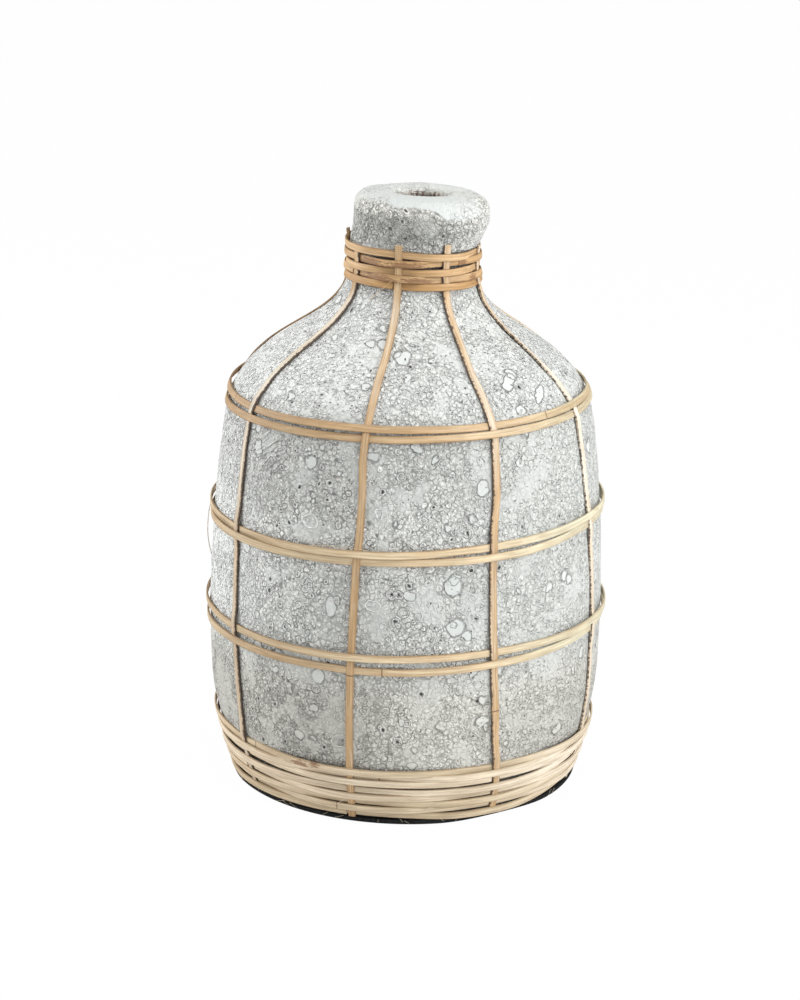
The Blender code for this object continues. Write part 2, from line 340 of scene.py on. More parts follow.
def rib_azimuth(rib, run):
    """Where a rib crosses a run. Ribs are counted on past the last one, once round for each eight."""
    fit = RIBS[rib % RIB_COUNT][0]
    drifts = np.array(RIB_DRIFT.get(rib % RIB_COUNT + 1, ((0, 0),)))
    radius, height, _ = on_glaze(run, MIDDLE)
    around = float(fit(run)) + np.interp(height / MM, drifts[:, 0], drifts[:, 1]) * MM / radius
    even = math.radians(FIRST_RIB + RIB_SPACING * (rib % RIB_COUNT))
    return even + math.remainder(around - even, math.tau) + math.tau * (rib // RIB_COUNT)


# Cane


def straight_cane(name, length, width):
    """A straight length of cane along +X: flat inside, crowned outside at -Y, its edges eased."""
    piece = start_cube(name)
    bpy.ops.transform.resize(value=(length, CANE, width))
    bpy.ops.transform.translate(value=(length / 2, 0, 0))
    select(piece, "edges", lambda edge: along_x(edge) and edge.verts[0].co.y < 0)
    bpy.ops.mesh.bevel(offset=EASE, segments=2, profile=0.6, affect="EDGES")
    for share in (-FLUTE, 0, FLUTE):
        bpy.ops.mesh.select_all(action="SELECT")
        bpy.ops.mesh.bisect(plane_co=(0, 0, share * width), plane_no=(0, 0, 1))
    for share, rise in ((0, 1), (FLUTE, 0.7), (-FLUTE, 0.7)):
        level = share * width
        select(piece, "verts", lambda v: abs(v.co.z - level) < MERGE and v.co.y < 0)
        bpy.ops.transform.translate(value=(0, -rise * CROWN, 0))
    cuts = math.ceil(math.sqrt(length / STATION)) - 1
    for _ in range(2):
        select(piece, "edges", along_x)
        bpy.ops.mesh.subdivide(number_cuts=cuts)
    bpy.ops.mesh.select_all(action="SELECT")
    bpy.ops.mesh.normals_make_consistent(inside=False)
    finish_mesh()
    return piece


def bend(piece, path, tilts, swells):
    """Lays a straight cane along a path, turned about it by the tilts and swollen by the swells."""
    line = bpy.data.curves.new("bend", "CURVE")
    line.dimensions = "3D"
    line.twist_mode = "Z_UP"
    spline = line.splines.new("POLY")
    spline.points.add(len(path) - 1)
    for point, place, tilt, swell in zip(spline.points, path, tilts, swells):
        point.co = (*place, 1)
        point.tilt = tilt
        point.radius = swell
    guide = add_object("bend", line)
    modifier = piece.modifiers.new("bend", "CURVE")
    modifier.object = guide
    apply(piece, modifier)
    bpy.data.objects.remove(guide)


def laid_cane(name, width, path, tilts, stations, looks):
    """A cane with its grain and marks, laid along a path that has a station for each point."""
    length = float(np.linalg.norm(np.diff(path, axis=0), axis=1).sum())
    piece = straight_cane(name, length, width)
    straight = coordinates(piece)
    seed = looks["seed"]
    shift = np.array([3.7 * seed, 0.0137 * seed, 0])
    point_values(piece, "grain", straight[:, [0, 2, 1]] + shift, "FLOAT_VECTOR")
    point_values(piece, "across", straight[:, 2] / np.abs(straight[:, 2]).max())
    point_values(piece, "shadow_side", np.full(len(straight), looks["shadow_side"]))
    lengths = np.concatenate([[0], np.cumsum(np.linalg.norm(np.diff(path, axis=0), axis=1))])
    places, tones = zip(*sorted(looks["tones"]))
    point_values(piece, "tone", np.interp(straight[:, 0], np.interp(places, stations, lengths), tones))
    spots = np.interp(looks["joints"], stations, lengths) if looks["joints"] else np.array([-1.0])
    apart = straight[:, 0][:, None] - spots[None, :]
    nearest = apart[np.arange(len(apart)), np.abs(apart).argmin(axis=1)]
    point_values(piece, "joint", np.clip(nearest, -JOINT_REACH, JOINT_REACH))
    stain = np.zeros(len(straight))
    for place, reach, side in looks["stains"]:
        along = (straight[:, 0] - np.interp(place, stations, lengths)) / reach
        drift = straight[:, 2] / 0.002 - side
        stain = np.maximum(stain, np.exp(-(along**2) - 0.5 * drift**2))
    point_values(piece, "stain", stain)
    bend(piece, path, tilts, swell_at(stations, looks["joints"], seed))
    return piece


def swell_at(stations, joints, seed):
    """How much wider than plain the cane is at each station: a slow drift, and a knuckle at joints."""
    swells = []
    for station in stations:
        drift = noise.noise(Vector((station * 31, seed, 0)))
        knuckle = sum(math.exp(-(((station - joint) / KNUCKLE) ** 2)) for joint in joints)
        swells.append(1 + 0.035 * drift + 0.05 * knuckle)
    return swells


def placed(looks, station):
    """The looks, with each mark's place given as its station along the cane."""
    return dict(
        looks,
        joints=[station(place) for place in looks["joints"]],
        stains=[(station(place), reach, side) for place, reach, side in looks["stains"]],
        tones=[(station(place), tone) for place, tone in looks["tones"]],
    )


def crossings(index):
    """The runs at which weavers pass under a rib."""
    runs = []
    for node, start_rib in WEAVERS.items():
        if (index - start_rib) % 2:
            line = weaver_line(node)
            runs.append(line(rib_azimuth(index, line(0))))
    return runs


def rib(number, width, looks):
    """An upright cane, which rests on the glaze and rises over each weaver that passes beneath."""
    index = number - 1
    _, bottom, top = RIBS[index]
    stand = rib_azimuth(index, (bottom + top) / 2)
    runs = np.linspace(bottom, top - looks["short"], math.ceil((top - bottom) / STATION))
    under = crossings(index)
    path, tilts = [], []
    for run in runs:
        wander = RIB_WANDER * noise.noise(Vector((run * 22, looks["seed"], 3)))
        reach = min(abs(run - other) for other in under)
        rise = 0.5 + 0.5 * math.cos(math.pi * np.clip((reach - HIGH_REACH) / FALL_REACH, 0, 1))
        radius, height, _ = on_glaze(run, RESTING + (MIDDLE - RESTING) * rise)
        turn = rib_azimuth(index, run) + wander / radius - stand
        path.append((height, -radius * math.sin(turn), radius * math.cos(turn)))
        tilts.append(turn - math.pi / 2)
    heights = [height for height, _, _ in path]
    marks = placed(looks, lambda place: float(np.interp(place, heights, runs)))
    piece = laid_cane(f"cane_rib_{number}", width, path, tilts, runs, marks)
    outward = Vector((math.sin(stand), -math.cos(stand), 0))
    aside = Vector((-math.cos(stand), -math.sin(stand), 0))
    piece.data.transform(Matrix((Vector((0, 0, 1)), aside, outward)).transposed().to_4x4())
    return piece


def weaver(node, width, looks, wander, cant):
    """A strip once round the body, tucked behind its start rib and lapped over its own start.

    Its top edge is canted in towards the glaze, as where rows lie on one another like shingles.
    """
    line = weaver_line(node)
    start_rib = WEAVERS[node]
    level = line(0)
    radius = on_glaze(level, MIDDLE)[0]
    ribs = [rib_azimuth(start_rib + bay, level) for bay in range(RIB_COUNT + 2)]
    first = ribs[0] - TUCK_START / radius
    last = ribs[-1] - TUCK_END / radius
    count = math.ceil((last - first) * radius / STATION)
    path, tilts, turns = [], [], np.linspace(first, last, count)
    for turn in turns:
        bays = float(np.interp(turn, ribs, range(RIB_COUNT + 2)))
        wave = min(max(CREST * math.cos(math.pi * bays), -1), 1)
        if bays <= 1:
            offset = UNDER
        elif bays <= RIB_COUNT:
            offset = MIDDLE + (OVER - MIDDLE) * wave
        else:
            offset = MIDDLE + (OVER - MIDDLE) * (1 + wave) / 2
        drift = wander * noise.noise(Vector((turn * 2.6, looks["seed"], 7)))
        out, height, elevation = on_glaze(line(turn) + drift, offset)
        path.append((out * math.sin(turn), -out * math.cos(turn), height))
        tilts.append(-elevation - cant)
    marks = placed(looks, lambda place: first + (math.radians(place) - first) % math.tau)
    return laid_cane(f"cane_{node}", width, path, tilts, turns, marks)


def fibre(piece, marks, thick):
    """A loose hair of cane, through marks given as azimuth, height and distance off the glaze."""
    line = bpy.data.curves.new("fibre", "CURVE")
    line.dimensions = "3D"
    line.bevel_depth = thick / 2
    line.bevel_resolution = 0
    spline = line.splines.new("NURBS")
    spline.points.add(len(marks) - 1)
    spline.use_endpoint_u = True
    spline.order_u = 3
    for point, (azimuth, height, offset) in zip(spline.points, marks):
        turn = math.radians(azimuth)
        out, up, _ = on_glaze(run_at(height * MM), offset * MM)
        point.co = (out * math.sin(turn), -out * math.cos(turn), up, 1)
    select_alone(add_object("fibre", line))
    bpy.ops.object.convert(target="MESH")
    hair = bpy.context.object
    count = len(hair.data.vertices)
    point_values(hair, "grain", coordinates(hair), "FLOAT_VECTOR")
    for name, value in (("across", 0), ("tone", 0), ("shadow_side", 0), ("joint", JOINT_REACH), ("stain", 0)):
        point_values(hair, name, np.full(count, value))
    hair.select_set(True)
    piece.select_set(True)
    bpy.context.view_layer.objects.active = piece
    bpy.ops.object.join()


def frayed(piece, draws):
    """Short hairs that hang over the lower edge of the lowest row."""
    for _ in range(15):
        azimuth = draws.uniform(-75, 75)
        lean = draws.uniform(-3.5, 3.5)
        start = draws.uniform(3.0, 5.0)
        fibre(
            piece,
            [
                (azimuth, start, 3.0),
                (azimuth + lean * 0.6, start - draws.uniform(0.8, 1.6), 3.5),
                (azimuth + lean, start - draws.uniform(1.2, 2.4), 4.2),
            ],
            FRAY_HAIR,
        )


# Materials


class Value:
    """A socket of a node tree that takes part in Python sums."""

    def __init__(self, tree, socket):
        self.tree = tree
        self.socket = socket

    def math(self, operation, *others):
        return self.tree.node("ShaderNodeMath", {"operation": operation}, [self, *others])

    def __add__(self, other):
        return self.math("ADD", other)

    __radd__ = __add__

    def __sub__(self, other):
        return self.math("SUBTRACT", other)

    def __rsub__(self, other):
        return self.tree.node("ShaderNodeMath", {"operation": "SUBTRACT"}, [other, self])

    def __mul__(self, other):
        return self.math("MULTIPLY", other)

    __rmul__ = __mul__

    def __abs__(self):
        return self.math("ABSOLUTE")

    def up_to(self, other):
        return self.math("MINIMUM", other)

    def at_least(self, other):
        return self.math("MAXIMUM", other)


class Tree:
    """A node tree that nodes are added to by type, settings and sockets."""

    def __init__(self, tree):
        self.tree = tree

    def node(self, kind, settings=None, sockets=(), output=0):
        node = self.tree.nodes.new(kind)
        for name, value in (settings or {}).items():
            setattr(node, name, value)
        pairs = sockets.items() if isinstance(sockets, dict) else enumerate(sockets)
        for name, value in pairs:
            socket = node.inputs[name]
            if isinstance(value, Value):
                self.tree.links.new(value.socket, socket)
            else:
                socket.default_value = value
        if isinstance(output, (list, tuple)):
            return [Value(self, node.outputs[name]) for name in output]
        return Value(self, node.outputs[output])

    def vector(self, operation, *vectors):
        return self.node("ShaderNodeVectorMath", {"operation": operation}, list(vectors))

    def scaled(self, vector, factors):
        return self.vector("MULTIPLY", vector, factors)

    def parts(self, vector):
        return self.node("ShaderNodeSeparateXYZ", {}, [vector], [0, 1, 2])

    def noise(self, vector, scale, detail=2.0, rough=0.5, output="Fac"):
        sockets = {"Vector": vector, "Scale": scale, "Detail": detail, "Roughness": rough}
        return self.node("ShaderNodeTexNoise", {}, sockets, output)

    def cells(self, vector, scale):
        """Distance to the middle of the nearest of a scatter of cells, and that cell's own draw."""
        distance, color = self.node(
            "ShaderNodeTexVoronoi",
            {},
            {"Vector": vector, "Scale": scale},
            ["Distance", "Color"],
        )
        return distance, self.parts(color)

    def borders(self, vector, scale):
        """Distance to the nearest border between a scatter of cells."""
        sockets = {"Vector": vector, "Scale": scale}
        return self.node("ShaderNodeTexVoronoi", {"feature": "DISTANCE_TO_EDGE"}, sockets, "Distance")

    def dot(self, first, second):
        return self.node("ShaderNodeVectorMath", {"operation": "DOT_PRODUCT"}, [first, second], "Value")

    def length(self, vector):
        return self.node("ShaderNodeVectorMath", {"operation": "LENGTH"}, [vector], "Value")

    def on_object(self):
        return self.node("ShaderNodeTexCoord", {}, [], "Object")

    def step(self, value, low, high):
        """0 below low, 1 above high, and a smooth ramp between. Where high is the lower, it falls."""
        ramp = self.node(
            "ShaderNodeMapRange",
            {"interpolation_type": "SMOOTHSTEP"},
            {"Value": value, "From Min": min(low, high), "From Max": max(low, high)},
        )
        return 1 - ramp if high < low else ramp

    def mix(self, share, first, second):
        """A colour between two."""
        sockets = {0: share, 6: self.solid(first), 7: self.solid(second)}
        return self.node("ShaderNodeMix", {"data_type": "RGBA"}, sockets, 2)

    def solid(self, color):
        return color if isinstance(color, Value) else (*color, 1)

    def warp(self, vector, scale, reach):
        """The vector, pushed about by noise."""
        push = self.noise(vector, scale, 1.0, output="Color")
        push = self.vector("SUBTRACT", push, (0.5, 0.5, 0.5))
        return self.vector("ADD", vector, self.scaled(push, (reach,) * 3))


def plain_material(name, roughness, specular=0.5):
    """A material, its tree, and a way to set what varies over the surface."""
    material = bpy.data.materials.new(name)
    material.use_nodes = True
    shader = material.node_tree.nodes["Principled BSDF"]
    shader.inputs["Roughness"].default_value = roughness
    shader.inputs["Specular IOR Level"].default_value = specular
    tree = Tree(material.node_tree)

    def paint(color, rough=None, height=None, depth=1.0):
        link = material.node_tree.links.new
        link(color.socket, shader.inputs["Base Color"])
        if rough is not None:
            link(rough.socket, shader.inputs["Roughness"])
        if height is not None:
            sockets = {"Strength": 1.0, "Distance": MM * depth, "Height": height}
            link(tree.node("ShaderNodeBump", {}, sockets).socket, shader.inputs["Normal"])

    return material, tree, paint


def relief(tree, place):
    """How far the glaze stands out at a place, in millimetres: what the mesh itself carries."""
    lumps = tree.noise(place, 42, 1.0) - 0.5
    waves = tree.noise(place, 120, 2.0) - 0.5
    distance, draw = tree.cells(tree.warp(place, 150, 0.004), 120)
    dimple = tree.step(distance, 0.42, 0.28) * tree.step(draw[0], 0.45, 0.55)
    return lumps * 0.9 + waves * 0.5 + dimple * 0.16


def bubbles(tree, place, size, share, rim):
    """Burst bubbles of about one size: the masks of raised rims, sunk floors, open pits and outlines."""
    distance, draw = tree.cells(place, 1 / size)
    gap = distance - (draw[0] * 0.20 + 0.19)
    there = tree.step(draw[1], 1 - share, 1.02 - share)
    edge = tree.step(abs(gap), rim, rim * 0.35) * there
    outline = tree.step(abs(gap - rim * 1.9), rim * 1.3, rim * 0.4) * there
    floor = tree.step(gap, -rim * 0.6, -rim * 1.6) * there
    pit = tree.step(distance, 0.17, 0.08) * tree.step(draw[2], 0.50, 0.54) * there
    return edge, floor, pit, outline


def plates(tree, place, size, share):
    """Flat floes of smooth glaze: the masks of their faces and of the cracks round them."""
    distance, draw = tree.cells(place, 1 / size)
    gap = distance - (draw[0] * 0.22 + 0.20)
    there = tree.step(draw[1], 1 - share, 1.02 - share)
    face = tree.step(gap, -0.01, -0.05) * there
    crack = tree.step(abs(gap - 0.025), 0.06, 0.01) * there
    return face, crack


def nearest(tree, place, marks):
    """How far the nearest of the marks is, as a share of its half width and half height."""
    nearest_one = None
    for azimuth, height, wide, tall in marks:
        turn = math.radians(azimuth)
        radius, _, _ = on_glaze(run_at(height * MM), 0)
        shares = (1 / (wide * MM * math.cos(turn)), 0, 1 / (tall * MM))
        centre = (-radius * math.sin(turn) * shares[0], 0, -height * MM * shares[2])
        gap = tree.length(tree.vector("MULTIPLY_ADD", place, shares, centre))
        nearest_one = gap if nearest_one is None else nearest_one.up_to(gap)
    return nearest_one + tree.step(tree.parts(place)[1], -0.004, 0.0) * 9


def flow(tree, place):
    """Slanting ridges where the glaze ran on the left: above 0 on a crest, below 0 in a dip."""
    turn = math.radians(-46)
    tangent = (math.cos(turn), math.sin(turn))
    across = tree.dot(place, (-0.62 * tangent[0], -0.62 * tangent[1], 0.78))
    along = tree.dot(place, (0.78 * tangent[0], 0.78 * tangent[1], 0.62))
    line = tree.node("ShaderNodeCombineXYZ", {}, [across, along * 0.10, 0.0])
    there = tree.step(nearest(tree, place, FLOWS), 1.15, 0.45)
    return (tree.noise(line, 560, 1.0) - 0.5) * 4 * there


# What stands out in the front's glaze: azimuth in degrees, height, half width and half height in mm.
PLATES = (
    (-31, 46, 2.8, 2.8), (-51, 190, 3.0, 4.6), (-56, 200, 3.0, 2.6), (-21, 118, 2.8, 5.6),
    (39, 226, 4.2, 3.2), (-4, 238, 4.4, 3.0), (50, 219, 3.6, 3.2), (22, 180, 3.4, 4.4),
    (13, 131, 5.0, 5.0), (14, 110, 5.4, 4.4), (1, 127, 3.2, 2.4),
)
RINGS = (
    (-18.0, 47.0, 4.2, 3.6), (-28.5, 160.5, 4.4, 3.4), (-17.0, 197.5, 2.2, 2.6),
    (-21.5, 197.0, 2.0, 2.2), (-25.5, 188.5, 1.7, 2.1), (-9.0, 121.0, 3.4, 3.0),
    (-22.0, 166.0, 1.6, 1.6),
)
FLOWS = (
    (-44, 188, 15, 12),
    (-60, 120, 9, 14),
)
PITS = (
    (-49.0, 52.0, 1.6, 1.4), (-46.0, 59.0, 1.4, 1.2), (-39.0, 59.5, 1.6, 1.5),
    (-23.0, 41.5, 1.6, 1.5), (-5.5, 55.5, 1.7, 1.6), (-23.0, 180.5, 1.7, 1.7),
    (-26.5, 179.5, 1.3, 1.3), (-33.0, 176.5, 1.4, 1.4), (-23.5, 172.5, 1.4, 1.4),
    (-35.5, 157.0, 1.5, 1.5), (-12.5, 186.0, 1.4, 1.4), (-40.0, 154.0, 1.3, 1.3),
    (-7.0, 306.4, 1.4, 1.2), (-19.0, 297.0, 1.5, 1.5), (-9.0, 301.0, 1.4, 1.4),
)

# How wide the glaze's domes are, large and fine, and the grey painted into its cracks and outlines as shade.
DOME = 0.0025
FINE_DOME = 0.0014
CRACK_SHADE_GREY = (0.22, 0.225, 0.215)


def glaze():
    """Light grey volcanic glaze: tight small domes, burst bubbles, plates, pits, and melted patches. Its
    grooves, pits, cracks and dome flanks are painted dark as shade, and its bubble rims and ridge crests
    painted bright as highlights.
    """
    material, tree, paint = plain_material("crater_glaze", 0.55, 0.4)
    place = tree.on_object()
    x, _, z = tree.parts(place)
    bent = tree.warp(tree.warp(place, 300, 0.0020), 700, 0.0008)
    loose = tree.warp(place, 190, 0.0055)
    zone = tree.noise(place, 26, 2.0)
    busy = tree.step(zone + x * -1.6 + z * 0.6, 0.50, 0.70)
    melted = tree.step(tree.noise(loose, 48, 2.0), 0.53, 0.62)

    face, crack = plates(tree, loose, 0.0105, 0.09)
    small_face, small_crack = plates(tree, tree.scaled(loose, (1, 1, 0.8)), 0.0062, 0.07)
    wavy = tree.warp(place, 230, 0.0030)
    plate_gap, ring_gap, pit_gap = (nearest(tree, wavy, marks) for marks in (PLATES, RINGS, PITS))
    face = face.at_least(tree.step(plate_gap, 0.95, 0.88))
    crack = crack.at_least(small_crack).at_least(tree.step(abs(plate_gap - 1.04), 0.12, 0.03))
    flat = face.at_least(small_face)
    pale, calm, shaded = regions(tree, x, z)
    rough = (1 - flat) * (1 - melted * 0.60) * (1 - calm * 0.30)

    big_edge, big_floor, big_pit, big_outline = bubbles(tree, bent, 0.0064, 0.30, 0.050)
    edge, floor, pit, outline = bubbles(tree, bent, 0.0041, 0.50, 0.075)
    tiny_edge, _, tiny_pit, tiny_outline = bubbles(tree, tree.scaled(bent, (-1, 1, 1)), 0.0029, 0.42, 0.10)
    tiny_edge = tiny_edge * (busy * 0.7 + 0.3)
    big_edge = big_edge.at_least(tree.step(abs(ring_gap - 1), 0.16, 0.05))
    big_edge = big_edge.at_least(tree.step(abs(pit_gap - 1), 0.34, 0.14))
    big_pit = big_pit.at_least(tree.step(pit_gap, 0.58, 0.38))

    grain = tree.noise(bent, 900, 2.0, 0.6)
    broken = tree.step(tree.noise(place, 260, 2.0), 0.34, 0.56)
    groove = tree.step(tree.borders(bent, 1 / DOME), 0.13, 0.01) * broken
    fine_groove = tree.step(tree.borders(bent, 1 / FINE_DOME), 0.18, 0.01)
    dome, _ = tree.cells(bent, 1 / DOME)
    fine_dome, _ = tree.cells(bent, 1 / FINE_DOME)

    ridges = flow(tree, wavy)
    nick, nick_draw = tree.cells(tree.scaled(bent, (1, 1, 1.9)), 1 / 0.0027)
    nicks = tree.step(nick, 0.27, 0.12) * tree.step(nick_draw[1], 0.42, 0.47) * (pale + calm).up_to(0.5)

    height = (
        (grain - 0.5) * rough * 0.30
        - dome * rough * 0.36
        - fine_dome * rough * 0.22
        - groove * rough * 0.20
        + flat * 0.20
        - crack * 0.20
        + big_edge * 0.34
        - big_floor * 0.22
        + edge * rough * 0.26
        - floor * rough * 0.12
        + tiny_edge * rough * 0.20
        + ridges * 0.45
        - nicks * 0.70
        - (big_pit + pit * busy + tiny_pit * busy) * 0.60
    )
    # Painted shade on the domes' flanks, with random tone from grain and zone.
    shade = 0.98 - dome * 0.50 - fine_dome * 0.50 + (grain - 0.5) * 0.9 + (zone - 0.5) * 0.7
    color = tree.mix(tree.step(shade, 0.10, 0.95), (0.47, 0.48, 0.455), (0.86, 0.87, 0.84))
    # Painted shade in the grooves between domes.
    color = tree.mix((groove * 0.50).at_least(fine_groove * 0.36) * rough, color, (0.20, 0.205, 0.195))
    # Painted shade in the dark outlines round the bubbles.
    dark = (outline * (busy * 0.35 + 0.60)).at_least(big_outline * 0.8).at_least(tiny_outline * busy * 0.55)
    color = tree.mix(dark * rough * (1 - pale) * (1 - calm * 0.8), color, CRACK_SHADE_GREY)
    # Painted highlight on the bubbles' raised rims.
    painted_rim_highlight = (big_edge * 0.80).at_least(edge * (busy * 0.30 + 0.62)).at_least(tiny_edge * 0.65)
    color = tree.mix(painted_rim_highlight, color, (0.95, 0.96, 0.93))
    # Painted highlight on the flow ridges' crests and painted shade in their dips.
    color = tree.mix(
        abs(ridges) * 0.65,
        color,
        tree.mix(tree.step(ridges, -0.1, 0.1), (0.22, 0.22, 0.21), (0.95, 0.96, 0.94)),
    )
    color = tree.mix(calm, color, (0.60, 0.615, 0.595))
    # The shoulder's whiter glaze, painted lighter still, and painted light on the far left and the right of
    # the neck.
    color = tree.mix(pale, color, (0.92, 0.935, 0.91))
    calm_glaze = tree.mix(pale, (0.52, 0.54, 0.52), (0.64, 0.66, 0.64))
    color = tree.mix(melted * (1 - big_edge * 0.9) * 0.55, color, calm_glaze)
    color = tree.mix(flat * 0.75, color, (0.61, 0.64, 0.625))
    # Painted shade in the cracks round the plates.
    color = tree.mix(crack * 0.50, color, CRACK_SHADE_GREY)
    # Painted shade in the nicks.
    color = tree.mix(nicks * 1.5, color, (0.17, 0.175, 0.17))
    # Painted shade low and high on the left and low on the right.
    color = tree.mix(shaded, color, (0.19, 0.18, 0.16))
    warm = tree.mix(tree.step(abs(z - 0.19), 0.095, 0.125), (1, 1, 1), (1.01, 0.985, 0.945))
    color = tree.vector("MULTIPLY", color, warm)
    speck = tree.step(tree.noise(place, 420, 2.0), 0.70, 0.75) * 0.5
    color = tree.mix(speck, color, (0.45, 0.34, 0.28))
    # Painted shade, near black, in the pits.
    black = (big_pit + pit * busy + tiny_pit * busy).up_to(1)
    color = tree.mix(black * 0.93, color, (0.02, 0.02, 0.02))
    # Painted shade, near black, on the glaze behind the neck's and the foot's bands of cane.
    color = tree.mix(painted_band_shade(tree, z) * 0.86, color, (0.025, 0.022, 0.018))
    # Painted shade down the neck's left side.
    neck = neck_shade(tree, loose)
    color = tree.mix(neck * 0.38, color, (0.20, 0.20, 0.19))
    # Painted highlight: a smooth pale band along the front of the lip and over the lip's top.
    smooth = (lip_highlight_band(tree, loose) * 0.85).at_least(tree.step(z, 0.3075, 0.3105) * 0.55)
    color = tree.mix(smooth, color, (0.60, 0.63, 0.62))
    color = mouth_clay(tree, place, color)
    paint(color, None, height * (1 - smooth) * (1 + pale * 2.2 + calm * 1.2 + neck * 1.4 + shaded * 3), 1.6)
    return material


def regions(tree, x, z):
    """Where the glaze is paler and smoother, where only smoother, and where darker. The paler share is partly
    the shoulder's whiter glaze and partly painted light, on the shoulder, the far left and the right of the
    neck; the darker share is painted shade.
    """
    shoulder = tree.step(z, 0.208, 0.222) * tree.step(z, 0.270, 0.252)
    shoulder = shoulder * (0.76 - tree.step(x, -0.035, 0.015) * 0.36)
    # Painted light down the far left, above the lowest part.
    pale = shoulder.at_least(tree.step(x, -0.066, -0.102) * tree.step(z, 0.065, 0.110) * 0.84)
    # Painted light on the right of the neck.
    pale = pale.at_least(tree.step(x, 0.010, 0.030) * tree.step(z, 0.281, 0.290) * 0.40)
    calm = tree.step(x, -0.005, 0.050) * tree.step(z, 0.285, 0.262) * 0.44
    # Painted shade low on the left, high on the left, and low on the right.
    low = tree.step(z, 0.095, 0.060) * tree.step(x, 0.010, -0.045) * 0.26
    high = tree.step(z, 0.150, 0.170) * tree.step(z, 0.212, 0.198) * tree.step(x, -0.010, -0.045) * 0.12
    dark = low.at_least(high)
    dark = dark.at_least(tree.step(z, 0.090, 0.050) * tree.step(x, 0.03, 0.07) * 0.14)
    return pale, calm, dark


def painted_band_shade(tree, z):
    """Painted shade on the glaze behind the two tight bands of cane, round the neck and the foot."""
    neck = tree.step(z, 0.2655, 0.2675) * tree.step(z, 0.2855, 0.2840)
    base = tree.step(z, 0.0330, 0.0300)
    return neck + base


def lip_highlight_band(tree, place):
    """A smooth band along the front of the lip, painted pale as the highlight on its rounded edge, which runs
    lower on the right.
    """
    x, y, z = tree.parts(place)
    ends = tree.step(x, -0.0140, -0.0115) * tree.step(x, 0.038, 0.030)
    edge = z + tree.step(x, 0.004, 0.020) * 0.0065
    fading = 1 - tree.step(x, 0.012, 0.028) * 0.25
    return ends * fading * tree.step(edge, 0.3072, 0.3088) * tree.step(y, -0.0100, -0.0125)


def neck_shade(tree, place):
    """Painted shade down the neck's left side, where the glaze's relief is also made rougher."""
    x, y, z = tree.parts(place)
    band = tree.step(z, 0.284, 0.292) * tree.step(z, 0.306, 0.299)
    return band * tree.step(x, 0.042, 0.002) * tree.step(y, 0.004, -0.012) * tree.step(x, -0.040, -0.030)


def mouth_clay(tree, place, color):
    """Bare brown clay down inside the mouth, streaked downwards, under the end of the glaze."""
    x, y, z = tree.parts(place)
    sideways, inward = (x - LIP_LEAN) * (1 / MOUTH_WIDTH), (y - MOUTH_BACK) * (1 / MOUTH_DEPTH)
    across = sideways * sideways + inward * inward
    streak = tree.noise(tree.scaled(place, (1, 1, 0.12)), 520, 3.0)
    inside = tree.step(across, 0.0175**2, 0.0155**2) * tree.step(z, 0.10, 0.11)
    below = tree.step(z + (streak - 0.5) * 0.014, 0.3095, 0.3040)
    clay = tree.mix(tree.step(streak, 0.40, 0.62), (0.11, 0.055, 0.03), (0.62, 0.47, 0.36))
    return tree.mix(inside * below, color, clay)


